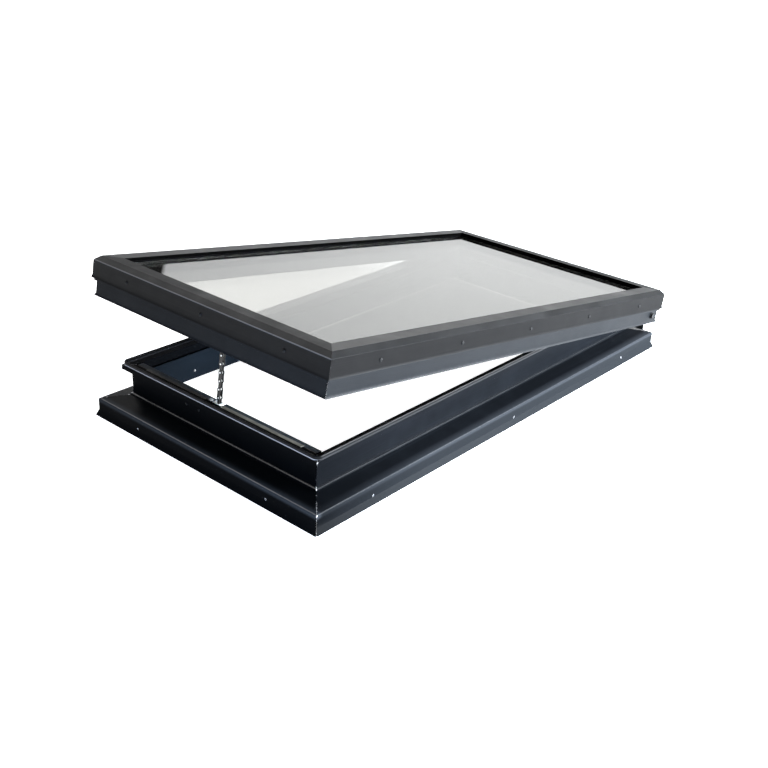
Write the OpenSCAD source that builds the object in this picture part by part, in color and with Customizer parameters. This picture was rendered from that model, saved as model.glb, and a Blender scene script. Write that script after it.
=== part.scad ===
// Roof skylight that opens on a chain: a metal kerb that sits over a timber curb, and a glazed sash
// hinged along its rear edge. Millimetres, +Z up, +Y toward the hinge, origin under the kerb's middle.

/* [Kerb] */
// Width over the flared skirt tips
kerb_w = 673; // [560:1:900]
// Length over the flared skirt tips
kerb_l = 1282; // [900:1:1500]
// How far the skirt's bottom edge flares outward
skirt_flare = 6; // [3:0.5:9]
// Height of the skirt's top edge
skirt_h = 42; // [38:0.5:50]
// Rise of the sloped flange from its edge to the upstand
flange_rise = 10; // [6:0.5:14]
// Radius of the flange's outer edge
flange_round = 4; // [3:0.5:5]
// Distance from the skirt tip in to the upstand's outer face
wall_inset = 59; // [55:0.5:66]
// Distance from the skirt tip in to the rim's outer face
rim_inset = 44; // [40:0.5:48]
// Height of the rim's top plate
rim_z = 123; // [115:0.5:135]
// Height of the rim's outer lip
rim_drop = 11; // [8:0.5:14]
// Height where the inner wall stops below the rim
inner_top = 102.4; // [96:0.2:106]
// Wall thickness of the extrusions
sheet = 2.5; // [2:0.1:3]
// Distance between the fixing holes on a short side
hole_pitch_short = 390; // [300:1:440]
// Distance between the outer fixing holes on a long side
hole_pitch_long = 954; // [700:1:1000]
// Diameter of the fixing holes in the skirt
fixing_hole = 5; // [4:0.1:6]

/* [Rim seal] */
// Width of the rubber seal on the rim
seal_w = 9; // [7:0.2:10]
// Height of the rubber seal on the rim
seal_h = 9; // [7:0.2:10]
// Thickness of the seal's upright lip
seal_lip = 4; // [3:0.1:4.4]
// Plan radius at the seal's outer corner
seal_r = 14; // [12:0.5:20]
// Length of a moulded corner's leg along the short side
leg_short = 160; // [80:1:200]
// Length of a moulded corner's leg along the long side
leg_long = 122; // [80:1:200]

/* [Sash] */
// How far the cap's face stands outside the kerb's skirt tips
sash_over = 2.5; // [1:0.1:5]
// Depth of the cap's side, from the flat top to the flared lip
cap_side = 48; // [45:0.5:52]
// How far the cap's bottom lip flares outward
lip_out = 2; // [1:0.1:3]
// Width of the cap's chamfer
chamfer_w = 11.2; // [8:0.2:14]
// Height of the cap's chamfer
chamfer_h = 10; // [7:0.2:13]
// Distance from the cap's face in to its inner edge
cap_in = 44.6; // [42:0.2:46]
// Distance from the cap's face in to the sash skirt
step_in = 7.1; // [6.6:0.1:8]
// Height of the sash skirt below the step
sash_skirt = 35; // [30:0.5:38]
// Thickness of each glass pane
pane_t = 4; // [3:0.5:5]
// Space between the two panes
cavity = 8.5; // [7:0.5:12]
// Height of the black gasket between glass and cap
bead_h = 7.5; // [6:0.5:9]
// Angle that the sash stands open at rest
open_angle = 9.25; // [6:0.25:10]

/* [Hinge and chain] */
// Distance of the hinge line from the kerb's rear tip
hinge_in = 34; // [32:0.5:36]
// Height of the hinge line
hinge_z = 97; // [94:0.5:100]
// Diameter of the hinge bolt
bolt_d = 8; // [6:0.5:9]
// Sideways place of the chain
chain_x = -11; // [-60:1:60]
// Number of chain links, outer and inner together
links = 12; // [10:2:16]
// Thickness of each chain plate
plate_t = 1.2; // [0.8:0.1:1.2]
// Radius of a chain plate's round end
plate_r = 4.2; // [3:0.1:4.3]
// Running clearance of the hinge bush in its bracket
run = 0.05; // [0.02:0.01:0.1]

/* [Hidden] */
$fn = 32;
far = 500;
seat = 0.1;
hw = kerb_w / 2;
hl = kerb_l / 2;
sw = hw + sash_over;
sl = hl + sash_over;
mitre_gap = 0.2;
seal_in = 0.3;
seal_wall = 1.1;
seal_foot = 3.5;
in_face = wall_inset + 10.4;
ledge_in = wall_inset + 7.4;
seat_z = skirt_h - 2;
cover_in = in_face + 12.6;
shelf_z = rim_z + seal_h + 0.5;
shelf_top = shelf_z + sheet;
glass_z = shelf_top + 1.7;
glass_top = glass_z + 2 * pane_t + cavity;
top_z = glass_top + bead_h + sheet;
face_z = top_z - chamfer_h;
lip_z = top_z - cap_side;
step_z = lip_z - 3;
shelf_in = 62;
glass_in = 20;
hinge_y = hl - hinge_in;
screw_z = shelf_z + sheet / 2;
skirt_x = sw - step_in;
ear_x = skirt_x - sheet - 5.4;
ear_t = 4;
bush_r = bolt_d / 2 + 2;
chain_y = -hl + wall_inset + 14;
cleat_leg = 60;
house_clear = 45.5;
house_half = hw - wall_inset - cleat_leg - house_clear;
house_in = wall_inset + sheet + 1;
house_w = 16.5;
house_y = -hl + house_in + house_w / 2;
house_z0 = rim_z - 63;
house_z1 = rim_z - 11;
pin_r = 1.8;
chain_gap = 1.8;
chain_half = chain_gap + 2 * plate_t + 0.5;
end_pin_r = pin_r - 0.15;
pin_closed = [chain_x, chain_y, rim_z + 5];
sprocket_z = rim_z - 24;
pin_open = turned(pin_closed);
foot = [chain_x, house_y, sprocket_z];
chain_run = norm(pin_open - foot);
pitch = chain_run / links;
chain_lean = atan2(pin_open[1] - foot[1], pin_open[2] - foot[2]);
teeth = 4;
pitch_r = pitch / 2 / sin(180 / teeth);
motor_l = house_half - 68;
guide_x = 9.6;
guide_y = 6.25;
strip_w = 9;
strip_t = 1;
strip_end = 104.5;
bracket_first = 16;
bracket_low = 30;
bracket_step_y = 32;
bracket_step_z = 26;
leaf_l = 52;
leaf_h = 42;
block_l = 60;
graphite = [0.09, 0.095, 0.105];
black = [0.03, 0.03, 0.033];
steel = [0.62, 0.63, 0.65];

// Piece to show, or all

function turned(p) = let(c = cos(-open_angle), s = sin(-open_angle), y = p[1] - hinge_y, z = p[2] - hinge_z)
    [p[0], c * y - s * z + hinge_y, s * y + c * z + hinge_z];

module opened() {
    translate([0, hinge_y, hinge_z]) rotate([-open_angle, 0, 0])
        translate([0, -hinge_y, -hinge_z]) children();
}

// One side of a four-sided frame with mitred ends. The child is a profile drawn as (distance in, height).
module mitred(along, off, depth = 110) {
    intersection() {
        translate([-along - 10, -off, 0]) rotate([90, 0, 90]) linear_extrude(2 * along + 20) children();
        linear_extrude(far) polygon([
            [-along - 10 + mitre_gap, -off - 10], [along + 10 - mitre_gap, -off - 10],
            [along - depth - mitre_gap, -off + depth], [-along + depth + mitre_gap, -off + depth]]);
    }
}

// Places a short-side or long-side piece on the front, right, rear or left side.
module side(i) {
    rotate([0, 0, 90 * i]) children();
}

module ring_of_bars(x, y) {
    for (i = [0 : 3]) side(i) mitred(i % 2 == 0 ? x : y, i % 2 == 0 ? y : x) children();
}

module box_profile(u0, u1, z0, z1) {
    translate([u0, z0]) square([u1 - u0, z1 - z0]);
}

// A hole or shank along the inward direction of the front side
module inward(x, u, z, r, len) {
    translate([x, u, z]) rotate([-90, 0, 0]) cylinder(r = r, h = len);
}

// Pan head screw with a cross recess, pointing inward on the front side
module pan_screw(head_r, shank_r, len) {
    rotate([-90, 0, 0]) difference() {
        rotate_extrude() polygon([[0, -head_r * 0.6], [head_r * 0.55, -head_r * 0.56],
            [head_r * 0.9, -head_r * 0.3], [head_r, 0], [shank_r, 0],
            [shank_r, len - shank_r], [shank_r * 0.3, len], [0, len]]);
        for (a = [0, 90]) rotate([0, 0, a])
            translate([-head_r * 0.6, -head_r * 0.1, -head_r])
                cube([head_r * 1.2, head_r * 0.2, head_r * 0.7]);
    }
}

// Points of an arc round a centre, from one angle to another
function arc(centre, r, from, to, steps = 6) =
    [for (k = [0 : steps]) let(a = from + (to - from) * k / steps) centre + r * [cos(a), sin(a)]];

module kerb_profile() {
    t = sheet;
    f = skirt_flare;
    r = flange_round;
    bead = 4.5;
    foot_z = skirt_h + flange_rise;
    slope = atan2(flange_rise, wall_inset - f - r);
    // flared skirt and its upright
    polygon([[0, 0], [t * 0.9, 0], [f + t, f * 2.2], [f + t, skirt_h - r], [f, skirt_h - r], [f, f * 2.35]]);
    // level seat on the timber and the sloped flange with a round edge that sheds the rain
    box_profile(f + 15, in_face, seat_z, seat_z + t);
    polygon(concat([[f, skirt_h - r - 1]], arc([f + r, skirt_h - r], r, 180, 90 + slope),
        [[wall_inset + 1, foot_z + 0.2], [wall_inset + 1, foot_z - t], [f + 19, seat_z + t - 0.1],
        [f + 19, seat_z], [f + t, seat_z], [f + t, skirt_h - r - 1]]));
    // weld bead along the upstand's foot
    polygon(concat([[wall_inset - bead, foot_z - 1.6]], arc([wall_inset, foot_z - 0.4], bead, 180, 90),
        [[wall_inset + 1, foot_z - 0.4 + bead], [wall_inset + 1, foot_z - 1.6]]));
    // double upstand with a closed chamber
    box_profile(wall_inset, wall_inset + t, seat_z, rim_z - 1);
    box_profile(in_face - t, in_face, seat_z, inner_top);
    box_profile(wall_inset, in_face, inner_top - t, inner_top);
    // rim plate with a dropped outer lip and a small turned-down inner edge
    box_profile(rim_inset + 1, ledge_in - 0.6, rim_z - t, rim_z);
    box_profile(ledge_in - t, ledge_in, rim_z - t - 2.5, rim_z - 0.6);
    box_profile(rim_inset, rim_inset + t, rim_z - rim_drop, rim_z - 1);
    translate([rim_inset + 1, rim_z - 1]) circle(r = 1);
}

module kerb_side(i, holes) {
    short = i % 2 == 0;
    along = short ? hw : hl;
    off = short ? hl : hw;
    color(graphite) side(i) difference() {
        mitred(along, off) kerb_profile();
        for (x = holes) inward(x, -off - 1, seat_z * 0.425, fixing_hole / 2, 20);
        if (!short) for (p = bracket_spots())
            inward((i == 1 ? 1 : -1) * (hl - wall_inset - p[0]), -off + wall_inset - 2, p[1], 2.1, sheet + 4);
        if (i == 0) {
            translate([chain_x - house_half - 6, -off + wall_inset + sheet, seat_z + sheet])
                cube([2 * house_half + 12, 20, inner_top - seat_z]);
            for (x = screw_xs()) inward(x, -off + wall_inset - 2, rim_z - 28.5, 2.1, sheet + 4);
        }
    }
}

function screw_xs() = [chain_x - 86, chain_x - 47];
function bracket_spots() = [for (z = [0, bracket_step_z]) for (y = [0, bracket_step_y])
    [bracket_first + y, skirt_h + bracket_low + z]];
short_holes = [-hole_pitch_short / 2, hole_pitch_short / 2];
long_holes = [-hole_pitch_long / 2, 0, hole_pitch_long / 2];

module kerb_front() { kerb_side(0, short_holes); }
module kerb_right() { kerb_side(1, long_holes); }
module kerb_rear() { kerb_side(2, short_holes); }
module kerb_left() { kerb_side(3, long_holes); }

module kerb_corner_cleats() {
    u0 = wall_inset + sheet + seat;
    u1 = in_face - sheet - seat;
    leg = cleat_leg;
    color(steel) for (sx = [-1, 1]) for (sy = [-1, 1])
        translate([0, 0, seat_z + 10]) linear_extrude(36) polygon([
            [sx * (hw - u0), sy * (hl - u0)], [sx * (hw - u0 - leg), sy * (hl - u0)],
            [sx * (hw - u0 - leg), sy * (hl - u1)], [sx * (hw - u1), sy * (hl - u1)],
            [sx * (hw - u1), sy * (hl - u0 - leg)], [sx * (hw - u0), sy * (hl - u0 - leg)]]);
}

// Seal profile: a flat foot and a hollow, round-topped lip at the outer edge,
// drawn from the rim's face inward
module seal_profile() {
    r = seal_lip / 2;
    difference() {
        union() {
            polygon([[0, 0], [seal_w, 0], [seal_w, 0.6], [seal_lip + 0.8, 2], [seal_lip, 3.2], [0, 3.2]]);
            square([seal_lip, seal_h - r]);
            translate([r, seal_h - r]) circle(r = r);
        }
        translate([seal_wall, seal_foot]) square([seal_lip - 2 * seal_wall, seal_h - r - seal_foot]);
        for (z = [seal_foot, seal_h - r]) translate([r, z]) circle(r = r - seal_wall);
    }
}

module seal_run(x0, x1, off) {
    translate([x0, -off + rim_inset + seal_in, rim_z + seat]) rotate([90, 0, 90])
        linear_extrude(x1 - x0) seal_profile();
}

module rim_seal_corners() {
    ex = hw - rim_inset - seal_in;
    ey = hl - rim_inset - seal_in;
    color(black) for (sx = [0, 1]) for (sy = [0, 1]) mirror([sx, 0, 0]) mirror([0, sy, 0]) {
        translate([ex - seal_r, -ey + seal_r, rim_z + seat]) rotate([0, 0, -90]) rotate_extrude(angle = 90)
            translate([seal_r, 0]) mirror([1, 0]) seal_profile();
        seal_run(hw - rim_inset - leg_short, ex - seal_r, hl);
        side(1) seal_run(-hl + rim_inset + seal_in + seal_r, -hl + rim_inset + leg_long, hw);
    }
}

module rim_seal_runs() {
    gap = 0.6;
    color(black) for (i = [0 : 3]) side(i) {
        reach = i % 2 == 0 ? hw - rim_inset - leg_short - gap : hl - rim_inset - leg_long - gap;
        seal_run(-reach, reach, i % 2 == 0 ? hl : hw);
    }
}

module motor_cover() {
    reach = hw - in_face - 0.3;
    color(graphite) difference() {
        translate([-reach, -hl, 0]) rotate([90, 0, 90]) linear_extrude(2 * reach) {
            box_profile(ledge_in + 0.3, cover_in - 0.6, rim_z - sheet, rim_z);
            box_profile(cover_in - sheet, cover_in, seat_z, rim_z - 0.6);
            box_profile(in_face + 0.3, cover_in, seat_z, seat_z + sheet);
        }
        translate([chain_x - guide_x - 0.15, chain_y - guide_y - 0.15, rim_z - 10])
            cube([2 * guide_x + 0.3, 2 * guide_y + 0.3, 20]);
        translate([chain_x - 21, chain_y - 3, rim_z - 10]) cylinder(r = 3.1, h = 20);
    }
}

// Flat metal strips over the joint between rim and cover, one on each side of the chain
module ledge_strips() {
    far_end = hw - strip_end;
    color([0.3, 0.29, 0.27]) for (x = [[-far_end, chain_x - 30], [chain_x + guide_x + 5, far_end]])
        translate([x[0], -hl + ledge_in - strip_w / 2, rim_z + seat]) cube([x[1] - x[0], strip_w, strip_t]);
}

module actuator_housing() {
    wall = 1.5;
    h = house_z1 - house_z0;
    color([0.16, 0.165, 0.17]) difference() {
        translate([chain_x - house_half, house_y - house_w / 2, house_z0]) cube([2 * house_half, house_w, h]);
        translate([chain_x - house_half - 8, house_y - house_w / 2 + wall, house_z0 + wall])
            cube([2 * house_half + 16, house_w - 2 * wall, h - 2 * wall]);
        translate([chain_x - 7, house_y - house_w / 2 + wall, house_z1 - 5])
            cube([14, house_w - 2 * wall, 10]);
        inward(chain_x + pitch_r, house_y - house_w, sprocket_z, 2.05, house_w * 2);
        for (x = screw_xs()) inward(x, house_y - house_w, rim_z - 28.5, 2.1, house_w);
    }
}

module actuator_end_caps() {
    h = house_z1 - house_z0;
    color(black) for (s = [-1, 1])
        translate([chain_x + s * (house_half + 2.2), house_y, house_z0 + h / 2]) {
            cube([4, house_w, h], center = true);
            translate([-s * 7, 0, 0]) cube([12, house_w - 3.2, h - 3.2], center = true);
        }
}

module drive_motor() {
    r = house_w / 2 - 1.5 - 0.25;
    color(steel) translate([chain_x + pitch_r + 12, house_y, house_z0 + 2 + r]) rotate([0, 90, 0]) {
        cylinder(r = r, h = motor_l * 0.6);
        translate([0, 0, motor_l * 0.6]) cylinder(r = r - 0.6, h = motor_l * 0.32);
        translate([0, 0, motor_l * 0.92]) cylinder(r = r, h = motor_l * 0.08);
        translate([0, 0, -10]) cylinder(r = 2, h = 11);
    }
}

module drive_sprocket() {
    root = pitch_r - pin_r - 0.5;
    color(steel) translate([chain_x + pitch_r, house_y, sprocket_z]) rotate([90, 0, 0]) difference() {
        union() {
            cylinder(r = root, h = 2.6, center = true);
            for (i = [0 : teeth - 1]) rotate([0, 0, (i + 0.5) * 360 / teeth])
                translate([root, 0, 0]) cylinder(r = 1.7, h = 2.6, center = true, $fn = 16);
        }
        cylinder(r = 2.05, h = 10, center = true);
    }
}

module sprocket_shaft() {
    color(steel) inward(chain_x + pitch_r, house_y - house_w / 2 + 0.2, sprocket_z, 2, house_w - 0.4);
}

module chain_guide() {
    color([0.88, 0.88, 0.86]) difference() {
        union() {
            translate([chain_x - guide_x, chain_y - guide_y, rim_z - 8])
                cube([2 * guide_x, 2 * guide_y, 8.2]);
            translate([chain_x - guide_x - 3, chain_y - guide_y - 1, rim_z + seat])
                cube([2 * guide_x + 6, 2 * guide_y + 2, 1]);
        }
        translate([chain_x - plate_r - 0.8, chain_y - guide_y + 0.85, rim_z - 20])
            cube([2 * plate_r + 1.6, 2 * guide_y - 1.7, 40]);
    }
}

// One chain plate: a bar with round ends, lying in the plane that the chain bends in
module chain_plate(y, r) {
    translate([0, y, 0]) rotate([-90, 0, 0]) {
        translate([-r * 0.82, -pitch, 0]) cube([r * 1.64, pitch, plate_t]);
        for (z = [0, -pitch]) translate([0, z, 0]) cylinder(r = r, h = plate_t, $fn = 20);
    }
}

module along_chain(k) {
    translate(foot) rotate([-chain_lean, 0, 0]) translate([0, 0, k * pitch]) children();
}

module chain_outer_links() {
    half = chain_gap + plate_t + 0.2;
    color(steel) for (k = [0 : 2 : links - 2]) along_chain(k) {
        chain_plate(half, plate_r);
        chain_plate(-half - plate_t, plate_r);
        for (z = [0, pitch]) translate([0, -chain_half, z]) rotate([-90, 0, 0])
            cylinder(r = pin_r, h = 2 * chain_half, $fn = 16);
    }
}

module chain_inner_links() {
    color(steel * 0.8) for (k = [1 : 2 : links - 1]) along_chain(k) difference() {
        union() {
            chain_plate(chain_gap, plate_r - 0.1);
            chain_plate(-chain_gap - plate_t, plate_r - 0.1);
            for (z = [0, pitch]) translate([0, -chain_gap - 0.1, z]) rotate([-90, 0, 0])
                cylinder(r = pin_r + 1.1, h = 2 * chain_gap + 0.2, $fn = 16);
        }
        for (z = [0, pitch]) translate([0, -6, z]) rotate([-90, 0, 0])
            cylinder(r = pin_r + 0.1, h = 12, $fn = 16);
    }
}

module actuator_screws() {
    color(steel) for (x = screw_xs())
        translate([x, -hl + wall_inset - 0.05, rim_z - 28.5]) pan_screw(3.2, 2, sheet + 2.4);
}

module cable_gland() {
    color([0.45, 0.46, 0.48]) translate([chain_x - 21, chain_y - 3, rim_z - 8]) {
        cylinder(r = 3, h = 10);
        translate([0, 0, 8.05]) cylinder(r = 4.6, h = 2.6, $fn = 6);
    }
}

// Folded plate: a leaf on the upstand, a web across and an ear that holds the hinge bush
module hinge_brackets() {
    wall_x = hw - wall_inset + seat;
    web_y = hl - wall_inset - ear_t;
    color([0.2, 0.205, 0.21]) for (m = [0, 1]) mirror([m, 0, 0]) difference() {
        union() {
            translate([wall_x, web_y - leaf_l, skirt_h + 22]) cube([ear_t, leaf_l + ear_t, leaf_h]);
            translate([wall_x, web_y, skirt_h + 22]) cube([ear_x + ear_t - wall_x, ear_t, leaf_h]);
            translate([ear_x, web_y, hinge_z - 13]) cube([ear_t, hinge_y - web_y, 24]);
            translate([ear_x, hinge_y, hinge_z]) rotate([0, 90, 0]) cylinder(r = 13, h = ear_t);
        }
        translate([ear_x - 5, hinge_y, hinge_z]) rotate([0, 90, 0]) cylinder(r = bush_r + run, h = 20);
        translate([ear_x - 25, web_y - 1, hinge_z + 11.2]) cube([24, 10, 20]);
        for (p = bracket_spots()) translate([wall_x - 5, hl - wall_inset - p[0], p[1]]) rotate([0, 90, 0])
            cylinder(r = 2.6, h = 12);
    }
}

module bracket_screws() {
    color(steel) for (i = [1, 3]) side(i) for (p = bracket_spots())
        translate([(i == 1 ? 1 : -1) * (hl - wall_inset - p[0]), -hw + wall_inset - ear_t - 0.2, p[1]])
            pan_screw(4.4, 2, ear_t + sheet + 0.2);
}

module sash_profile() {
    t = sheet;
    box_profile(3, 3 + t, step_z - t, glass_z + 12);
    box_profile(3, step_in + t, step_z - t, step_z);
    box_profile(step_in, step_in + t, step_z - sash_skirt + 6, step_z);
    polygon([[step_in, step_z - sash_skirt + 7], [step_in + t, step_z - sash_skirt + 7],
        [step_in + t, step_z - sash_skirt + 6], [step_in - 0.4, step_z - sash_skirt],
        [step_in - 2.8, step_z - sash_skirt], [step_in, step_z - sash_skirt + 6]]);
    // glazing shelf, screw port, glass stop and inner leg
    box_profile(3, shelf_in, shelf_z, shelf_top);
    box_profile(3, 13, screw_z - 4.4, screw_z + 4.4);
    box_profile(glass_in - 3.5, glass_in - 1.5, shelf_z, glass_z + 5);
    box_profile(shelf_in - 2.2, shelf_in, shelf_z - 2.2, shelf_top);
}

function cap_xs(i) = i % 2 == 0
    ? [for (k = [-1 : 1]) k * (sw - 113)]
    : [for (k = [-2 : 2]) k * (sl - 136) / 2];

module sash_side(i) {
    short = i % 2 == 0;
    along = short ? sw : sl;
    off = short ? sl : sw;
    color(graphite) opened() side(i) difference() {
        mitred(along, off) sash_profile();
        for (x = cap_xs(i)) inward(x, -off, screw_z, 1.9, 12.5);
        if (!short)
            inward((i == 1 ? 1 : -1) * hinge_y, -off + step_in - 4, hinge_z, bolt_d / 2 + 0.1, sheet + 8);
    }
}

module sash_front() { sash_side(0); }
module sash_right() { sash_side(1); }
module sash_rear() { sash_side(2); }
module sash_left() { sash_side(3); }

module sash_corner_plates() {
    u0 = 15;
    u1 = 42;
    leg = 90;
    color(steel) opened() for (sx = [-1, 1]) for (sy = [-1, 1])
        translate([0, 0, shelf_z - seat - 2.5]) linear_extrude(2.5) polygon([
            [sx * (sw - u0), sy * (sl - u0)], [sx * (sw - u0 - leg), sy * (sl - u0)],
            [sx * (sw - u0 - leg), sy * (sl - u1)], [sx * (sw - u1), sy * (sl - u1)],
            [sx * (sw - u1), sy * (sl - u0 - leg)], [sx * (sw - u0), sy * (sl - u0 - leg)]]);
}

module cap_profile() {
    t = sheet;
    polygon([[-lip_out, lip_z], [1.8 - lip_out, lip_z], [t, lip_z + 6], [t, face_z - 1],
        [chamfer_w + 1, top_z - t],
        [cap_in - 2.2, top_z - t], [cap_in - 2.2, top_z - 6], [cap_in, top_z - 6], [cap_in, top_z - 0.4],
        [cap_in - 0.4, top_z], [chamfer_w, top_z], [0.3, face_z + 0.3], [0, face_z - 0.4], [0, lip_z + 5.5]]);
}

module cap_side_piece(i) {
    short = i % 2 == 0;
    along = short ? sw : sl;
    off = short ? sl : sw;
    color(graphite) opened() side(i) difference() {
        mitred(along, off) cap_profile();
        for (x = cap_xs(i)) inward(x, -off - 5, screw_z, 2.3, 9);
    }
}

module cap_front() { cap_side_piece(0); }
module cap_right() { cap_side_piece(1); }
module cap_rear() { cap_side_piece(2); }
module cap_left() { cap_side_piece(3); }

module cap_screws() {
    color(steel) opened() for (i = [0 : 3]) side(i) for (x = cap_xs(i))
        translate([x, -(i % 2 == 0 ? sl : sw) - 0.05, screw_z]) pan_screw(4.2, 1.85, 12);
}

module cap_gasket() {
    color(black) opened() ring_of_bars(sw, sl) {
        box_profile(glass_in + 8, cap_in - 2.3, glass_top + 0.05, top_z - sheet - 0.05);
        box_profile(cap_in - 4, cap_in + 1.6, glass_top + 0.05, top_z - 6.1);
    }
}

module pane(z) {
    translate([-sw + glass_in, -sl + glass_in, z]) cube([2 * (sw - glass_in), 2 * (sl - glass_in), pane_t]);
}

module outer_pane() { color([0.8, 0.85, 0.86, 0.35]) opened() pane(glass_top - pane_t); }
module inner_pane() { color([0.8, 0.85, 0.86, 0.35]) opened() pane(glass_z); }

module spacer_bars() {
    color(steel) opened() ring_of_bars(sw, sl) difference() {
        box_profile(glass_in + 7.1, glass_in + 14, glass_z + pane_t + seat, glass_z + pane_t + cavity - seat);
        box_profile(glass_in + 8, glass_in + 13, glass_z + pane_t + 1, glass_z + pane_t + cavity - 1);
    }
}

module edge_sealant() {
    color(black) opened() ring_of_bars(sw, sl)
        box_profile(glass_in + 0.5, glass_in + 7, glass_z + pane_t + seat, glass_z + pane_t + cavity - seat);
}

module glazing_tape() {
    color(black) opened() ring_of_bars(sw, sl)
        box_profile(shelf_in - 16, shelf_in - 1, shelf_top + 0.05, glass_z - 0.05);
}

module setting_blocks() {
    color([0.25, 0.25, 0.26]) opened() for (i = [0 : 3]) side(i) for (s = [-1, 1]) {
        along = i % 2 == 0 ? sw : sl;
        off = i % 2 == 0 ? sl : sw;
        translate([s * 0.55 * along - block_l / 2, -off + glass_in + 3, shelf_top + 0.05])
            cube([block_l, 16, 1.6]);
    }
}

module at_hinges() {
    opened() for (m = [0, 1]) mirror([m, 0, 0])
        translate([0, hinge_y, hinge_z]) rotate([0, 90, 0]) children();
}

module hinge_bolts() {
    r = bolt_d / 2;
    color(steel) at_hinges() {
        translate([0, 0, ear_x - 8.5]) cylinder(r = r, h = skirt_x - ear_x + 9);
        translate([0, 0, skirt_x + 0.05]) cylinder(r = r * 2.1, h = 1.4);
        translate([0, 0, skirt_x + 1.4]) cylinder(r = r * 1.85, h = r * 1.2, $fn = 6);
    }
}

module hinge_bushes() {
    r = bolt_d / 2 + 0.05;
    color([0.85, 0.84, 0.8]) at_hinges() difference() {
        union() {
            translate([0, 0, ear_x - 0.4]) cylinder(r = bush_r, h = skirt_x - sheet - ear_x + 0.3);
            translate([0, 0, ear_x + ear_t + 0.3])
                cylinder(r = bush_r + 3, h = skirt_x - sheet - ear_x - ear_t - 0.4);
        }
        translate([0, 0, ear_x - 10]) cylinder(r = r, h = 40);
    }
}

module hinge_nuts() {
    r = bolt_d / 2 + 0.05;
    color(steel) at_hinges() difference() {
        union() {
            translate([0, 0, ear_x - 2]) cylinder(r = r * 2.1, h = 1.5);
            translate([0, 0, ear_x - 8]) cylinder(r = r * 1.85, h = 6.2, $fn = 6);
        }
        translate([0, 0, ear_x - 20]) cylinder(r = r, h = 40);
    }
}

// Small hanger on the sash's inner leg: a plate, an arm and two lugs with the chain's end pin between them
module chain_bracket() {
    leg_y = -sl + shelf_in + seat;
    lug = 3.6 + plate_t;
    color([0.3, 0.305, 0.31]) opened() difference() {
        union() {
            translate([chain_x - 24, leg_y, shelf_z - 4]) cube([48, 2.2, sheet + 3.8]);
            translate([chain_x - 8, leg_y, shelf_z]) cube([16, chain_y + lug + 1.8 - leg_y, 2.2]);
            for (y = [chain_y - lug - 1.8, chain_y + lug])
                translate([chain_x - 5, y, rim_z + 1.8]) cube([10, 1.8, shelf_z + 1 - rim_z - 1.8]);
        }
        inward(chain_x, chain_y - 20, pin_closed[2], end_pin_r + 0.05, 40);
    }
}

module bracket_pin() {
    reach = 3.6 + plate_t + 2.2;
    color(steel) opened() inward(chain_x, chain_y - reach, pin_closed[2], end_pin_r, 2 * reach);
}

kerb_front();
kerb_rear();
kerb_left();
kerb_right();
kerb_corner_cleats();
rim_seal_corners();
rim_seal_runs();
motor_cover();
ledge_strips();
actuator_housing();
actuator_end_caps();
drive_motor();
drive_sprocket();
sprocket_shaft();
chain_guide();
chain_outer_links();
chain_inner_links();
actuator_screws();
cable_gland();
hinge_brackets();
bracket_screws();
sash_front();
sash_rear();
sash_left();
sash_right();
sash_corner_plates();
cap_front();
cap_rear();
cap_left();
cap_right();
cap_screws();
cap_gasket();
outer_pane();
inner_pane();
spacer_bars();
edge_sealant();
glazing_tape();
setting_blocks();
hinge_bolts();
hinge_bushes();
hinge_nuts();
chain_bracket();
bracket_pin();
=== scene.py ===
import math

import bmesh
import bpy
from mathutils import Matrix, Vector


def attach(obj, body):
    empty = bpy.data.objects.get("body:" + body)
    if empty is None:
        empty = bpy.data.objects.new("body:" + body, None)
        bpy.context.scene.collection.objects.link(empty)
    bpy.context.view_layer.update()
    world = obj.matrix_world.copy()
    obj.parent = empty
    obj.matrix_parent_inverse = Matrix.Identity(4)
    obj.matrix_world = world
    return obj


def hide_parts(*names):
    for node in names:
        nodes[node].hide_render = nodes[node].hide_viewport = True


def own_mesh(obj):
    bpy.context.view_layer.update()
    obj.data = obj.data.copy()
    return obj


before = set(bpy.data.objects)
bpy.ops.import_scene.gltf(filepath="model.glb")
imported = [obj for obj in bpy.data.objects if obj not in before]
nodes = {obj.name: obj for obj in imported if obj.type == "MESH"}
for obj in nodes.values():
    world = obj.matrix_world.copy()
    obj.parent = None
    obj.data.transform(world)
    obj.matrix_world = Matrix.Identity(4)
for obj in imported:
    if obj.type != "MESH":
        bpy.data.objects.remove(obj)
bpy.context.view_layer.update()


# The photograph's camera: a longish lens in front of the chain end, to the right of the kerb,
# turned a few degrees about its own axis. The bearing is measured from the -Y side toward +X.
bearing = math.radians(39.5428)
height_angle = math.radians(25.7301)
camera_roll = math.radians(3.2837)
camera_distance = 2.3678
camera_target = Vector((0.12955, -0.22021, 0.10095))
image_pixels = 768
focal_pixels = 1088.566
sensor_width = 36.0
far_limit = 100.0
camera_back = Vector((math.sin(bearing) * math.cos(height_angle),
                      -math.cos(bearing) * math.cos(height_angle),
                      math.sin(height_angle)))
level_right = Vector((math.cos(bearing), math.sin(bearing), 0.0))
level_up = camera_back.cross(level_right)
camera_right = level_right * math.cos(camera_roll) + level_up * math.sin(camera_roll)
camera_up = level_up * math.cos(camera_roll) - level_right * math.sin(camera_roll)
camera_place = camera_target + camera_back * camera_distance
lens = bpy.data.cameras.new("photo_camera")
lens.sensor_width = sensor_width
lens.lens = focal_pixels / image_pixels * sensor_width
lens.clip_end = far_limit
camera = bpy.data.objects.new("photo_camera", lens)
turn = Matrix((camera_right, camera_up, camera_back)).transposed().to_4x4()
camera.matrix_world = Matrix.Translation(camera_place) @ turn
bpy.context.collection.objects.link(camera)
bpy.context.scene.camera = camera


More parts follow.
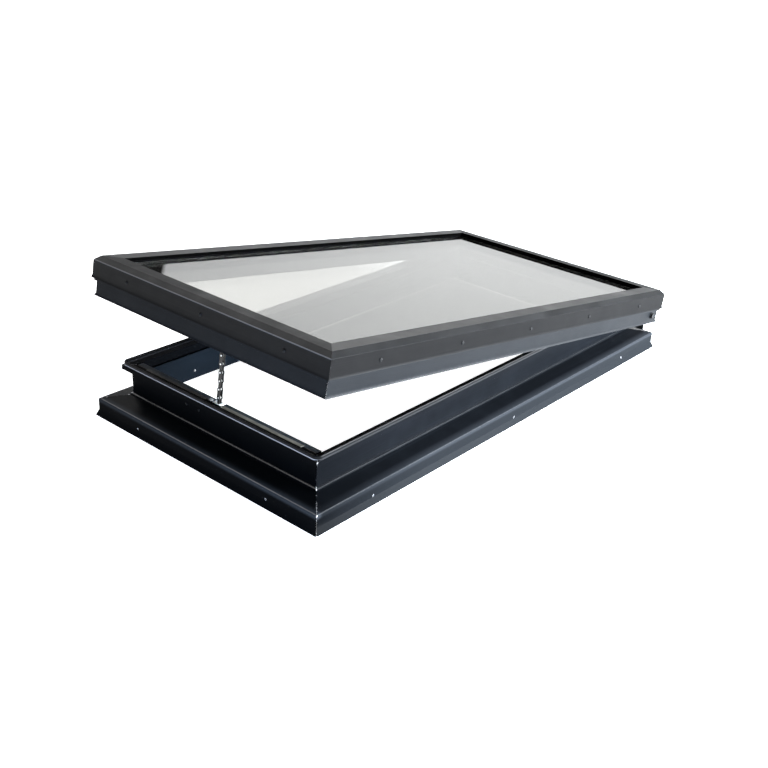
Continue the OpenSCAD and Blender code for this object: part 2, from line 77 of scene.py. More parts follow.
# Kerb: four aluminium extrusions, mitred and joined at the corners and powder coated nearly black.
# The coat has a fine orange peel and is chipped to bare metal along the mitres. On it a highlight is painted
# along the flange's edge, shade toward the front end and light low on the long sides' skirts. The short sides
# are painted darker than the long ones, as shade, and the inner walls lighter, as light. The skirt fits over
# the roof's timber curb and is screwed to it.
half_width = 0.3365
half_length = 0.641
mitre_offset = half_length - half_width
hinge_spot = Vector((0.0, 0.607, 0.097))
open_turn = math.radians(9.25)
inner_wall_across = (0.2675, 0.2685)
inner_wall_lengthwise = (0.572, 0.573)
mitre_line = (0.0005, 0.0018)
knock_size = (0.0008, 0.0022)
knock_heights = (0.0, 0.039, 0.055, 0.121)
arris_size = (0.0006, 0.0014)
flange_foot = (0.03, 0.036)
lit_inner_wall_colour = (0.0056, 0.0083, 0.0119)
bare_metal = (0.38, 0.38, 0.39)
arris_highlight_colour = (0.07, 0.067, 0.068)
painted_shade_colour = (0.0008, 0.001, 0.0013)
painted_edge_highlight_colour = (0.0135, 0.015, 0.0175)
painted_skirt_light_colour = (0.0062, 0.0071, 0.0083)
inward_black = (0.0005, 0.0005, 0.0005)


def start_material(name):
    finish = bpy.data.materials.new(name)
    finish.use_nodes = True
    tree = finish.node_tree
    shader = tree.nodes["Principled BSDF"]
    return finish, tree, shader


def add(tree, kind, **settings):
    made = tree.nodes.new(kind)
    for key, value in settings.items():
        setattr(made, key, value)
    return made


def noise(tree, place, scale, detail=3.0, roughness=0.5):
    made = add(tree, "ShaderNodeTexNoise")
    made.inputs["Scale"].default_value = scale
    made.inputs["Detail"].default_value = detail
    made.inputs["Roughness"].default_value = roughness
    tree.links.new(place, made.inputs["Vector"])
    return made.outputs["Fac"]


def ramp(tree, value, low, high, start=0.3, end=0.7):
    """Runs from low to high, in a straight line, while the value runs from start to end."""
    made = add(tree, "ShaderNodeMapRange")
    for name, number in (("From Min", start), ("From Max", end), ("To Min", low), ("To Max", high)):
        made.inputs[name].default_value = number
    tree.links.new(value, made.inputs["Value"])
    return made.outputs["Result"]


def fade_in(tree, value, start, end):
    return ramp(tree, value, 0.0, 1.0, start, end)


def fade_out(tree, value, start, end):
    return ramp(tree, value, 1.0, 0.0, start, end)


def maths(tree, operation, first, second=None):
    made = add(tree, "ShaderNodeMath", operation=operation)
    for slot_number, value in enumerate((first, second)):
        if value is None:
            continue
        if isinstance(value, (int, float)):
            made.inputs[slot_number].default_value = value
        else:
            tree.links.new(value, made.inputs[slot_number])
    return made.outputs[0]


def product(tree, first, *factors):
    for factor in factors:
        first = maths(tree, "MULTIPLY", first, factor)
    return first


def away(tree, value, level):
    """How far a value is from a level, on either side."""
    return maths(tree, "ABSOLUTE", maths(tree, "SUBTRACT", value, level))


def dot(tree, first, second):
    made = add(tree, "ShaderNodeVectorMath", operation="DOT_PRODUCT")
    tree.links.new(first, made.inputs[0])
    if isinstance(second, tuple):
        made.inputs[1].default_value = second
    else:
        tree.links.new(second, made.inputs[1])
    return made.outputs["Value"]


def split_axes(tree, vector):
    made = add(tree, "ShaderNodeSeparateXYZ")
    tree.links.new(vector, made.inputs["Vector"])
    return made.outputs["X"], made.outputs["Y"], made.outputs["Z"]


def mix_colour(tree, factor, first, second):
    made = add(tree, "ShaderNodeMix", data_type="RGBA")
    tree.links.new(factor, made.inputs["Factor"])
    for socket, value in ((made.inputs[6], first), (made.inputs[7], second)):
        if isinstance(value, tuple):
            socket.default_value = (*value, 1.0)
        else:
            tree.links.new(value, socket)
    return made.outputs[2]


def bump(tree, shader, value, strength, distance):
    made = add(tree, "ShaderNodeBump")
    made.inputs["Strength"].default_value = strength
    made.inputs["Distance"].default_value = distance
    tree.links.new(value, made.inputs["Height"])
    tree.links.new(made.outputs["Normal"], shader.inputs["Normal"])


def object_place(tree):
    return add(tree, "ShaderNodeTexCoord").outputs["Object"]


def surface_normal(tree):
    return add(tree, "ShaderNodeNewGeometry").outputs["Normal"]


def closed_place(tree, place):
    """The place that a point of the open sash has when the sash is closed, where its rails lie level."""
    closed = add(tree, "ShaderNodeMapping")
    closing = Matrix.Rotation(open_turn, 3, "X")
    closed.inputs["Rotation"].default_value = (open_turn, 0.0, 0.0)
    closed.inputs["Location"].default_value = hinge_spot - closing @ hinge_spot
    tree.links.new(place, closed.inputs["Vector"])
    return closed.outputs["Vector"]


def dust(tree, place):
    """How dusty a coat is: patches of grime, fine specks and faint lines along the extrusion."""
    grime = ramp(tree, noise(tree, place, scale=9.0, detail=6.0, roughness=0.65), 0.0, 0.55, 0.45, 0.75)
    specks = ramp(tree, noise(tree, place, scale=700.0, detail=1.0), 0.0, 0.5, 0.68, 0.74)
    stretched = add(tree, "ShaderNodeMapping")
    stretched.inputs["Scale"].default_value = (2.0, 2.0, 900.0)
    tree.links.new(place, stretched.inputs["Vector"])
    long_streaks = noise(tree, stretched.outputs["Vector"], scale=1.0, detail=2.0)
    drawn_lines = ramp(tree, long_streaks, 0.0, 0.8, 0.5, 0.75)
    return maths(tree, "MAXIMUM", maths(tree, "MAXIMUM", grime, specks), drawn_lines)


def kerb_painted_light(tree, coat, place):
    """Painted light and shade on the kerb: shade toward the front end, a highlight along the flange's edge
    and light low on the long sides' skirts.
    """
    x, y, z = split_axes(tree, place)
    from_side = maths(tree, "SUBTRACT", half_width, maths(tree, "ABSOLUTE", x))
    from_end = maths(tree, "SUBTRACT", half_length, maths(tree, "ABSOLUTE", y))
    # Painted shade: the coat is darker toward the front end.
    near_front = ramp(tree, y, 0.8, 0.0, -0.63, -0.4)
    coat = mix_colour(tree, near_front, coat, painted_shade_colour)
    # Painted highlight: a lighter band along the flange's outer edge, fainter near the front.
    on_edge = fade_out(tree, maths(tree, "MINIMUM", from_side, from_end), 0.009, 0.024)
    clear_of_front = ramp(tree, y, 0.2, 1.0, -0.6, -0.3)
    on_short_edge = fade_out(tree, from_end, 0.012, 0.024)
    spared = maths(tree, "MAXIMUM", clear_of_front, on_short_edge)
    edge_highlight = product(tree, on_edge, fade_in(tree, z, *flange_foot), spared)
    coat = mix_colour(tree, edge_highlight, coat, painted_edge_highlight_colour)
    # Painted light: a lighter, bluer coat low on the long sides' skirts, away from the front.
    on_long_side = fade_out(tree, from_side, 0.009, 0.012)
    behind_front = fade_in(tree, y, -0.62, -0.3)
    skirt_light = product(tree, fade_out(tree, z, *flange_foot), on_long_side, behind_front)
    return mix_colour(tree, skirt_light, coat, painted_skirt_light_colour)


def powder_coat(name, colours, roughness, shine, chip_level, tilted=False, knocks=(), arris=None, black_inward=False):
    """A stoved coat in a clean and a dusty colour, chipped to bare metal along the mitres.

    Its shine is given for upright faces, rounded edges and level faces. Knocks are the heights where a
    kerb's mitre sticks out and is bare, and a coat with knocks also takes the kerb's painted light and shade.
    An arris is the height where a highlight line is painted, and black_inward paints the faces that look
    inward black and takes their shine. Faces inside the kerb's inner walls get lighter, bluer painted light.
    """
    face_shine, edge_shine, level_shine = shine
    finish, tree, shader = start_material(name)
    place = object_place(tree)
    if tilted:
        place = closed_place(tree, place)
    x, y, z = split_axes(tree, place)
    across = maths(tree, "ABSOLUTE", x)
    lengthwise = maths(tree, "ABSOLUTE", y)
    from_mitre = away(tree, maths(tree, "SUBTRACT", lengthwise, across), mitre_offset)
    near_mitre = fade_out(tree, from_mitre, *mitre_line)
    chips = fade_in(tree, noise(tree, place, scale=140.0, detail=2.0), chip_level, chip_level + 0.06)
    bare = product(tree, near_mitre, chips)
    for knock in knocks:
        at_knock = fade_out(tree, away(tree, z, knock), *knock_size)
        bare = maths(tree, "MAXIMUM", bare, product(tree, near_mitre, at_knock))
    coat = mix_colour(tree, dust(tree, place), *colours)
    # Painted light: the inner walls are lighter and bluer than the coat outside.
    inside = product(tree, fade_out(tree, across, *inner_wall_across),
                     fade_out(tree, lengthwise, *inner_wall_lengthwise))
    coat = mix_colour(tree, inside, coat, lit_inner_wall_colour)
    facing_up = split_axes(tree, surface_normal(tree))[2]
    off_upright = fade_in(tree, facing_up, 0.58, 0.74)
    level = fade_in(tree, facing_up, 0.9, 0.97)
    shine_level = maths(tree, "ADD", ramp(tree, off_upright, face_shine, edge_shine, 0.0, 1.0),
                        product(tree, level, level_shine - edge_shine))
    # The faces that look inward are painted black and their shine is taken away.
    if black_inward:
        outward = dot(tree, object_place(tree), surface_normal(tree))
        inward = fade_out(tree, outward, -0.2, -0.1)
        coat = mix_colour(tree, inward, coat, inward_black)
        shine_level = product(tree, shine_level, maths(tree, "SUBTRACT", 1.0, inward))
    if arris:
        # Painted highlight: a thin lighter line along the arris, mostly toward the front.
        at_arris = ramp(tree, away(tree, z, arris), 0.9, 0.0, *arris_size)
        at_front = ramp(tree, y, 1.0, 0.06, -0.4, -0.2)
        coat = mix_colour(tree, product(tree, at_arris, at_front), coat, arris_highlight_colour)
    if knocks:
        coat = kerb_painted_light(tree, coat, place)
    tree.links.new(mix_colour(tree, bare, coat, bare_metal), shader.inputs["Base Color"])
    tree.links.new(bare, shader.inputs["Metallic"])
    smears = noise(tree, place, scale=14.0, detail=4.0)
    tree.links.new(ramp(tree, smears, *roughness), shader.inputs["Roughness"])
    tree.links.new(shine_level, shader.inputs["Specular IOR Level"])
    orange_peel = noise(tree, place, scale=1100.0, detail=2.0)
    bump(tree, shader, orange_peel, strength=0.12, distance=0.0004)
    return finish


def soften(piece, width):
    """Rounds a piece's sharp edges a little, as an extrusion's or pressing's are, and keeps flats flat."""
    weld = piece.modifiers.new("weld", "WELD")
    weld.merge_threshold = 0.00002
    flats = piece.modifiers.new("flats", "DECIMATE")
    flats.decimate_type = "DISSOLVE"
    flats.angle_limit = math.radians(1.0)
    edge = piece.modifiers.new("edge_round", "BEVEL")
    edge.width = width
    edge.segments = 2
    edge.limit_method = "ANGLE"
    edge.angle_limit = math.radians(25)
    even = piece.modifiers.new("even_shading", "WEIGHTED_NORMAL")
    even.weight = 100
    for face in piece.data.polygons:
        face.use_smooth = True


def dress(names, finish, edge_width=0.0):
    """Gives nodes of the frame their finish and, where a width is given, their softened edges."""
    for name in names:
        piece = nodes[name]
        piece.data.materials.clear()
        piece.data.materials.append(finish)
        if edge_width:
            soften(piece, edge_width)


extrusion_edge = 0.0009
kerb_roughness = (0.28, 0.38)
kerb_chips = 0.58
# Painted shade and light: the short sides' coat is a darker copy of the long sides' coat.
shaded_short_kerb_coat = powder_coat("shaded_short_kerb_powder_coat", ((0.0007, 0.0008, 0.0011), (0.0016, 0.0019, 0.0025)),
                              kerb_roughness, (0.006, 0.5, 0.03), kerb_chips, knocks=knock_heights)
lit_long_kerb_coat = powder_coat("lit_long_kerb_powder_coat", ((0.0023, 0.0027, 0.0034), (0.0049, 0.0058, 0.0073)),
                             kerb_roughness, (0.006, 0.3, 0.03), kerb_chips, knocks=knock_heights)
dress(["kerb_front", "kerb_rear"], shaded_short_kerb_coat, extrusion_edge)
dress(["kerb_left", "kerb_right"], lit_long_kerb_coat, extrusion_edge)


# Fixing holes: drilled through the skirt after coating, so each has a bare bright rim.
# The two short sides have two each and the long sides three.
hole_height = 0.017
short_face = 0.635
long_face = 0.3305
short_side_holes = (-0.195, 0.195)
long_side_holes = (-0.477, 0.0, 0.477)
rim_outline = [(0.0021, -0.0012), (0.0021, 0.0001), (0.0023, 0.0002), (0.00255, -0.0001)]


def mottled(name, colours, patches, roughness, rough_patches,
            metallic=0.0, shine=0.5, grain=None, softness=0.0):
    """A finish that drifts between two colours and between two roughnesses, each by its own noise.

    A grain is the noise, the strength and the depth of its bumps. Softness lets light into a plastic.
    """
    finish, tree, shader = start_material(name)
    place = object_place(tree)
    colour = mix_colour(tree, noise(tree, place, *patches), *colours)
    tree.links.new(colour, shader.inputs["Base Color"])
    tree.links.new(ramp(tree, noise(tree, place, *rough_patches), *roughness), shader.inputs["Roughness"])
    shader.inputs["Metallic"].default_value = metallic
    shader.inputs["Specular IOR Level"].default_value = shine
    shader.inputs["Subsurface Weight"].default_value = softness
    if grain:
        bumps, strength, depth = grain
        bump(tree, shader, noise(tree, place, *bumps), strength, depth)
    return finish


def new_mesh(name, build, finishes, body):
    """Makes a piece from a function that fills a bmesh, gives it its finishes and lets it ride on a body."""
    shape = bmesh.new()
    build(shape)
    bmesh.ops.recalc_face_normals(shape, faces=shape.faces[:])
    mesh = bpy.data.meshes.new(name)
    shape.to_mesh(mesh)
    shape.free()
    for finish in finishes:
        mesh.materials.append(finish)
    piece = bpy.data.objects.new(name, mesh)
    bpy.context.collection.objects.link(piece)
    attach(piece, body)
    return piece


def turned_form(shape, centre, axis, outline, sides=24, finish=0):
    """Sweeps (radius, height) points round an axis, the way a lathe turns a rivet, ring or pin."""
    axis = Vector(axis).normalized()
    across = axis.orthogonal().normalized()
    third = axis.cross(across)
    rows = []
    for step in range(sides):
        angle = 2.0 * math.pi * step / sides
        outward = across * math.cos(angle) + third * math.sin(angle)
        rows.append([shape.verts.new(Vector(centre) + outward * r + axis * h) for r, h in outline])
    for step in range(sides):
        here = rows[step]
        there = rows[(step + 1) % sides]
        for k in range(len(outline) - 1):
            face = shape.faces.new((here[k], there[k], there[k + 1], here[k + 1]))
            face.material_index = finish
            face.smooth = True


def drilled_rims(shape):
    for side in (-1, 1):
        for across in short_side_holes:
            turned_form(shape, (across, side * short_face, hole_height), (0, side, 0), rim_outline)
        for lengthwise in long_side_holes:
            turned_form(shape, (side * long_face, lengthwise, hole_height), (side, 0, 0), rim_outline)


bare_rim = mottled("bare_drilled_rim", ((0.2, 0.2, 0.21), (0.3, 0.3, 0.3)), (900.0,), (0.3, 0.5), (900.0,),
                   metallic=0.6)
new_mesh("fixing_hole_rims", drilled_rims, [bare_rim], "kerb")


# Wall screws: a small bright pan head toward each end of the long inner walls, of zinc plated steel.
# They sit flat on the wall. The photograph shows one of the four.
wall_face = 0.267
wall_screw_end = 0.4175
wall_screw_height = 0.0593
pan_head = [(0.0, 0.0016), (0.0012, 0.0015), (0.0024, 0.0009), (0.0027, 0.0), (0.0027, -0.0004)]


def wall_heads(shape):
    for side in (-1, 1):
        for end in (-wall_screw_end, wall_screw_end):
            turned_form(shape, (side * wall_face, end, wall_screw_height), (-side, 0, 0), pan_head, 16)


new_mesh("wall_screws", wall_heads, [bare_rim], "kerb")


# Rim seal: black rubber extrusion, a hollow lip on a flat foot, four moulded corners butted to straight
# runs. It sits on the rim plate, flush with the rim's face, and the closed sash rests on it.
# Along the front a thin pale line is painted on it as a highlight.
highlight_line_height = 0.1249
rubber, tree, shader = start_material("seal_rubber")
place = object_place(tree)
bloom = fade_in(tree, noise(tree, place, scale=30.0, detail=5.0), 0.4, 0.75)
black_rubber = mix_colour(tree, bloom, (0.0009, 0.0009, 0.0011), (0.0026, 0.0026, 0.003))
# Painted highlight: a thin pale line at this height on the faces that look to the front.
on_highlight_line = fade_out(tree, away(tree, split_axes(tree, place)[2], highlight_line_height), 0.0004, 0.001)
to_front = ramp(tree, split_axes(tree, surface_normal(tree))[1], 1.0, 0.08, -0.95, -0.6)
highlighted_rubber = mix_colour(tree, product(tree, on_highlight_line, to_front), black_rubber, (0.22, 0.22, 0.24))
tree.links.new(highlighted_rubber, shader.inputs["Base Color"])
tree.links.new(ramp(tree, noise(tree, place, scale=20.0), 0.3, 0.4), shader.inputs["Roughness"])
shader.inputs["Specular IOR Level"].default_value = 0.06
bump(tree, shader, noise(tree, place, scale=300.0, detail=2.0), strength=0.03, distance=0.0003)
dress(["rim_seal_corners", "rim_seal_runs"], rubber, 0.0004)


# Drive: a slim drawn aluminium housing with nylon end caps, screwed behind a folded cover on the front
# inner side. Two dusty metal strips lie over the joint between rim and cover. The chain leaves through
# a white nylon guide, with a small cable gland beside it.
cover_coat = powder_coat("cover_powder_coat", ((0.008, 0.0078, 0.0078), (0.03, 0.027, 0.022)), (0.3, 0.46),
                         (0.15, 0.3, 0.15), 0.8)
dress(["motor_cover"], cover_coat, 0.0006)

strip_metal, tree, shader = start_material("dusty_strip")
place = object_place(tree)
dusty = fade_in(tree, noise(tree, place, scale=35.0, detail=6.0, roughness=0.7), 0.35, 0.7)
worn_strip = mix_colour(tree, dusty, (0.06, 0.059, 0.05), (0.115, 0.112, 0.095))
# The strip left of the chain is darker.
darker_left = fade_out(tree, split_axes(tree, place)[0], -0.05, 0.0)
strip_colour = mix_colour(tree, darker_left, worn_strip, (0.012, 0.0115, 0.0105))
tree.links.new(strip_colour, shader.inputs["Base Color"])
tree.links.new(ramp(tree, noise(tree, place, scale=80.0), 0.38, 0.55), shader.inputs["Roughness"])
shader.inputs["Metallic"].default_value = 0.4
bump(tree, shader, noise(tree, place, scale=700.0), strength=0.1, distance=0.0003)
dress(["ledge_strips"], strip_metal, 0.0002)

drawn_metal = mottled("drawn_aluminium", ((0.32, 0.325, 0.33), (0.42, 0.42, 0.43)), (40.0, 4.0),
                      (0.28, 0.42), (90.0,), metallic=1.0, grain=((500.0,), 0.06, 0.0003))
dress(["actuator_housing", "kerb_corner_cleats", "sash_corner_plates"], drawn_metal)
black_nylon = mottled("black_nylon", ((0.02, 0.02, 0.022), (0.04, 0.04, 0.042)), (120.0,),
                      (0.4, 0.55), (70.0,), grain=((1200.0,), 0.1, 0.0003))
dress(["actuator_end_caps", "setting_blocks"], black_nylon, 0.0004)
white_nylon = mottled("white_nylon", ((0.76, 0.76, 0.74), (0.85, 0.85, 0.83)), (150.0,),
                      (0.35, 0.5), (70.0,), grain=((1000.0,), 0.08, 0.0003), softness=0.1)
dress(["chain_guide", "hinge_bushes"], white_nylon, 0.0005)
gland_grey = mottled("gland_grey_nylon", ((0.16, 0.165, 0.17), (0.24, 0.245, 0.25)), (150.0,),
                     (0.4, 0.55), (90.0,))
dress(["cable_gland"], gland_grey, 0.0004)


# Fasteners, hinge hardware and the drive's inner works: zinc plated steel with a dull, cloudy shine.
# The folded hinge and chain brackets are painted, and the screws and bolts that show are blackened.
zinc_clouds = (300.0, 5.0, 0.6)
zinc = mottled("zinc_plate", ((0.36, 0.365, 0.37), (0.62, 0.62, 0.62)), zinc_clouds,
               (0.25, 0.45), zinc_clouds, metallic=1.0, grain=((1500.0,), 0.08, 0.0002))
dress(["bracket_screws", "hinge_nuts", "bracket_pin"], zinc)
dress(["drive_motor", "drive_sprocket", "sprocket_shaft"], zinc)
bracket_coat = powder_coat("bracket_paint", ((0.003, 0.0031, 0.0033), (0.008, 0.008, 0.008)), (0.35, 0.5),
                           (0.05, 0.1, 0.05), 0.8)
dress(["hinge_brackets", "chain_bracket"], bracket_coat, 0.0006)
dark_screw = mottled("blackened_screw", ((0.0008, 0.0008, 0.0009), (0.0024, 0.0024, 0.0026)), (400.0,),
                     (0.55, 0.7), (500.0,), shine=0.15)
dress(["cap_screws", "actuator_screws", "hinge_bolts"], dark_screw)


# Drive chain: waisted steel plates on riveted pins, from the sprocket in the housing to the sash's
# bracket. Oiled plates look nearly black beside their bright pin heads. The share of each set's run that
# it would keep when the sash closes is worked out, less for the outer plates, but nothing uses it.
chain_foot = Vector((-0.011, -0.57025, 0.099))
chain_open_end = Vector((-0.011, -0.54774, 0.31647))
chain_closed_end = Vector((-0.011, -0.568, 0.128))
link_count = 12
plate_radius = 0.0047
plate_waist = 0.0036
plate_thickness = 0.0012
inner_plate_at = 0.0018
outer_plate_at = 0.0032
waist_steps = (0.3, 0.5, 0.7)
arc_steps = 12
round_sides = 14
pin_radius = 0.0019
pin_end_radius = 0.0012
pin_half = 0.0047
pin_shoulder = 0.00455
bush_radius = 0.0029
bush_half = 0.003
bush_shoulder = 0.0029
outer_share = 0.6
chain_run = chain_open_end - chain_foot
link_pitch = chain_run.length / link_count
chain_up = chain_run.normalized()
chain_side = Vector((1.0, 0.0, 0.0))
chain_depth = chain_side.cross(chain_up)
oil_film = (350.0, 4.0, 0.6)
plate_steel = mottled("oiled_chain_plate", ((0.01, 0.0097, 0.0094), (0.055, 0.053, 0.05)), oil_film,
                      (0.28, 0.5), oil_film, metallic=0.9, grain=((1600.0,), 0.08, 0.0002))
pin_wear = (600.0, 3.0)
pin_steel = mottled("bright_chain_pin", ((0.55, 0.545, 0.53), (0.85, 0.84, 0.82)), pin_wear,
                    (0.2, 0.4), pin_wear, metallic=1.0)


def plate_side(side, shares):
    """The hollow side of a plate between its two round ends, as (across, along) points."""
    points = []
    for share in shares:
        bulge = (plate_radius - plate_waist) * (2.0 * share - 1.0) ** 2
        points.append((side * (plate_waist + bulge), link_pitch * share))
    return points


def plate_end(along, first_angle):
    """A plate's round end about a pin, half a turn from an angle on."""
    points = []
    for step in range(arc_steps + 1):
        angle = first_angle + math.pi * step / arc_steps
        points.append((plate_radius * math.cos(angle), along + plate_radius * math.sin(angle)))
    return points


def chain_plate(shape, first_pin, depth):
    """One waisted plate from a pin to the next, its face at a depth from the chain's middle."""
    outline = plate_end(0.0, math.pi) + plate_side(1, waist_steps)
    outline += plate_end(link_pitch, 0.0) + plate_side(-1, reversed(waist_steps))
    near = []
    far = []
    for across, along in outline:
        spot = first_pin + chain_side * across + chain_up * along
        near.append(shape.verts.new(spot + chain_depth * depth))
        far.append(shape.verts.new(spot + chain_depth * (depth + plate_thickness)))
    shape.faces.new(near)
    shape.faces.new(far)
    for k in range(len(outline)):
        shape.faces.new((near[k - 1], near[k], far[k], far[k - 1]))


def chain_links(shape, links, plate_at, turned_outline):
    """Links of one kind: two plates each, and a pin or bush, in the second finish, at both ends."""
    for link in links:
        first_pin = chain_foot + chain_up * (link * link_pitch)
        chain_plate(shape, first_pin, plate_at)
        chain_plate(shape, first_pin, -plate_at - plate_thickness)
        for pin_spot in (first_pin, first_pin + chain_up * link_pitch):
            turned_form(shape, pin_spot, chain_depth, turned_outline, round_sides, 1)


def outer_links(shape):
    pin = [(0.0, -pin_half), (pin_end_radius, -pin_half), (pin_radius, -pin_shoulder),
           (pin_radius, pin_shoulder), (pin_end_radius, pin_half), (0.0, pin_half)]
    chain_links(shape, range(0, link_count - 1, 2), outer_plate_at, pin)


def inner_links(shape):
    bush = [(pin_radius, -bush_half), (bush_radius, -bush_shoulder),
            (bush_radius, bush_shoulder), (pin_radius, bush_half)]
    chain_links(shape, range(1, link_count, 2), inner_plate_at, bush)


folded_part = (chain_closed_end - chain_foot).length / chain_run.length
outer_folded_part = folded_part * outer_share
chain_sets = (("chain_outer_plates", outer_links, "chain_outer_links", outer_folded_part),
              ("chain_inner_plates", inner_links, "chain_inner_links", folded_part))
for chain_name, build, node_name, kept_part in chain_sets:
    chain_piece = new_mesh(chain_name, build, [plate_steel, pin_steel], "kerb")
    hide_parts(node_name)
    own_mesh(chain_piece)


# Sash and caps: the opening frame's aluminium extrusions, mitred like the kerb and coated in a greyer
# charcoal. The caps are screwed on from the side and hold the glass down on black rubber. The caps' faces
# that look inward are painted black and lose their shine, and a highlight line is painted along the
# front cap's arris.
cap_colours = ((0.0028, 0.0027, 0.0028), (0.0052, 0.005, 0.005))
cap_roughness = (0.38, 0.52)
cap_chips = 0.66
cap_arris = 0.1532
sash_coat = powder_coat("sash_powder_coat", ((0.0036, 0.0041, 0.0049), (0.0064, 0.0072, 0.0085)), (0.36, 0.5),
                        (0.04, 0.1, 0.1), 0.64, tilted=True)
short_cap_coat = powder_coat("short_cap_powder_coat", cap_colours, cap_roughness, (0.07, 0.13, 0.12),
                             cap_chips, tilted=True, arris=cap_arris, black_inward=True)
long_cap_coat = powder_coat("long_cap_powder_coat", cap_colours, cap_roughness, (0.02, 0.16, 0.56),
                            cap_chips, tilted=True, black_inward=True)
dress(["sash_front", "sash_rear", "sash_left", "sash_right"], sash_coat, extrusion_edge)
dress(["cap_front", "cap_rear"], short_cap_coat, extrusion_edge)
dress(["cap_left", "cap_right"], long_cap_coat, extrusion_edge)
gasket_rubber = mottled("glazing_gasket_rubber", ((0.0003, 0.0003, 0.0003), (0.0008, 0.0008, 0.0009)),
                        (40.0, 4.0), (0.5, 0.65), (60.0,), shine=0.004, grain=((800.0, 2.0), 0.1, 0.0003))
dress(["cap_gasket", "glazing_tape", "edge_sealant"], gasket_rubber, 0.0004)


# Double glazing: two float panes, slightly tinted, parted by a pale metal spacer along the edges.
# The unit rests on tape on the sash's shelf and is held down by the caps.
glass_tint = (0.665, 0.662, 0.642, 1.0)
glass_index = 1.5
tinted_glass, tree, shader = start_material("float_glass")
ripple = noise(tree, object_place(tree), scale=4.0, detail=5.0)
tree.links.new(ramp(tree, ripple, 0.0, 0.006), shader.inputs["Roughness"])
shader.inputs["Base Color"].default_value = glass_tint
shader.inputs["Transmission Weight"].default_value = 1.0
shader.inputs["IOR"].default_value = glass_index
dress(["outer_pane", "inner_pane"], tinted_glass)
spacer_metal = mottled("pale_spacer", ((0.28, 0.28, 0.28), (0.36, 0.36, 0.365)), (90.0,),
                       (0.45, 0.6), (60.0,), shine=0.15)
dress(["spacer_bars"], spacer_metal)


# Studio floor: a wide matt sheet, painted pale and lit from within, so that the part stands on white.
# Under the rear left of the glass a shadow is painted on the floor, darker paint without the glow, where the
# floor shows through the panes.
floor_reach = 14.0
floor_drop = 0.0006
shade_across = (0.326, 0.334)
shade_lengthwise = (0.63, 0.638)
shade_slant = 0.6
shaded_paint = (0.14, 0.14, 0.14)
floor_mesh = bpy.data.meshes.new("studio_floor")
floor_corners = [(-floor_reach, -floor_reach, 0), (floor_reach, -floor_reach, 0),
                 (floor_reach, floor_reach, 0), (-floor_reach, floor_reach, 0)]
floor_mesh.from_pydata(floor_corners, [], [(0, 1, 2, 3)])
floor = bpy.data.objects.new("studio_floor", floor_mesh)
floor.location.z = -floor_drop
bpy.context.collection.objects.link(floor)
floor_paint, tree, shader = start_material("pale_floor")
place = object_place(tree)
x, y = split_axes(tree, place)[:2]
# Painted shadow: inside the kerb and under the rear left of the glass the floor is darker and does not glow.
inside_across = fade_out(tree, maths(tree, "ABSOLUTE", x), *shade_across)
inside_lengthwise = fade_out(tree, maths(tree, "ABSOLUTE", y), *shade_lengthwise)
rearward_left = maths(tree, "SUBTRACT", product(tree, y, shade_slant), x)
under_sash = fade_in(tree, rearward_left, 0.14, 0.27)
rearward = fade_in(tree, y, -0.16, -0.04)
shade = product(tree, inside_across, inside_lengthwise, under_sash, rearward)
paint = mix_colour(tree, noise(tree, place, scale=3.0), (0.84, 0.84, 0.84), (0.88, 0.88, 0.88))
tree.links.new(mix_colour(tree, shade, paint, shaded_paint), shader.inputs["Base Color"])
shader.inputs["Roughness"].default_value = 0.9
shader.inputs["Specular IOR Level"].default_value = 0.0
shader.inputs["Emission Color"].default_value = (1.0, 1.0, 1.0, 1.0)
from_middle = add(tree, "ShaderNodeVectorMath", operation="LENGTH")
tree.links.new(place, from_middle.inputs[0])
glow = ramp(tree, from_middle.outputs["Value"], 0.86, 1.0, 1.0, 3.5)
unshaded_glow = product(tree, glow, maths(tree, "SUBTRACT", 1.0, shade))
tree.links.new(unshaded_glow, shader.inputs["Emission Strength"])
floor_mesh.materials.append(floor_paint)


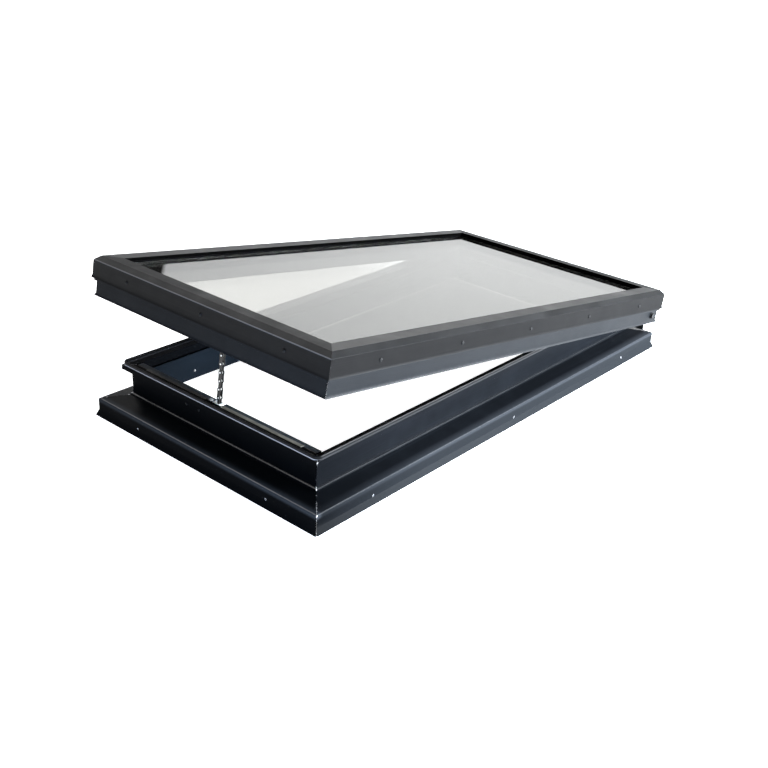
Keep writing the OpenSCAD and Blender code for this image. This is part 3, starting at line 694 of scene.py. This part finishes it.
# Studio surround: dark above, with a tall pale backdrop that the glass mirrors and a low haze at the
# horizon. The backdrop's left end is a sharp edge, its right end and its top fade out.
backdrop_edge = math.radians(48.5)
far_edge = math.radians(12.0)
surround_tint = (0.97, 0.99, 1.0, 1.0)
surround = bpy.data.worlds.new("studio_surround")
bpy.context.scene.world = surround
surround.use_nodes = True
sky = surround.node_tree
heading = add(sky, "ShaderNodeTexCoord").outputs["Generated"]
aloft = split_axes(sky, heading)[2]
past_edge = dot(sky, heading, (math.cos(backdrop_edge), math.sin(backdrop_edge), 0.0))
past_paper = dot(sky, heading, (math.cos(far_edge), math.sin(far_edge), 0.0))
lit_side = fade_in(sky, past_edge, -0.001, 0.003)
backdrop = ramp(sky, past_edge, 1.12, 1.36, 0.0, 0.25)
below_top = ramp(sky, aloft, 1.0, 0.06, 0.29, 0.4)
on_paper = ramp(sky, past_paper, 1.0, 0.25, -0.02, 0.12)
paper = product(sky, lit_side, backdrop, below_top, on_paper)
low_haze = ramp(sky, aloft, 0.95, 0.02, 0.085, 0.1)
background = sky.nodes["Background"]
sky.links.new(maths(sky, "MAXIMUM", paper, low_haze), background.inputs["Strength"])
background.inputs["Color"].default_value = surround_tint


# Studio lights: large soft panels. A strong low one on the right rakes along the long sides, a weak
# bluish one in front lifts the chain end, and the others light the tops and the floor from above.
cool_white = (0.86, 0.93, 1.0)
sky_blue = (0.5, 0.7, 1.0)


def soft_light(name, place, aim, size, watts, colour=(1.0, 1.0, 1.0)):
    lamp = bpy.data.lights.new(name, "AREA")
    lamp.shape = "RECTANGLE"
    lamp.size, lamp.size_y = size
    lamp.energy = watts
    lamp.color = colour
    holder = bpy.data.objects.new(name, lamp)
    holder.location = place
    holder.rotation_euler = (Vector(aim) - Vector(place)).to_track_quat("-Z", "Y").to_euler()
    bpy.context.collection.objects.link(holder)


soft_light("overhead", (-1.0, 0.4, 3.2), aim=(-1.0, 0.39, 0.0), size=(5.0, 3.6), watts=70.0)
soft_light("upper_left", (-2.0, -1.0, 2.5), aim=(0.0, -0.5, 0.1), size=(4.0, 1.5), watts=74.0)
soft_light("front_bounce", (0.8, -1.5, 0.35), aim=(0.3, -0.64, 0.2), size=(0.6, 0.3), watts=24.0,
           colour=sky_blue)
soft_light("low_right", (3.6, 2.0, 0.9), aim=(0.3, 0.2, 0.1), size=(2.6, 1.0), watts=2300.0,
           colour=cool_white)
soft_light("floor_left", (-1.2, 1.2, 2.2), aim=(-0.9, 0.5, 0.0), size=(1.2, 1.2), watts=10.0)
bpy.context.scene.view_settings.view_transform = "Standard"
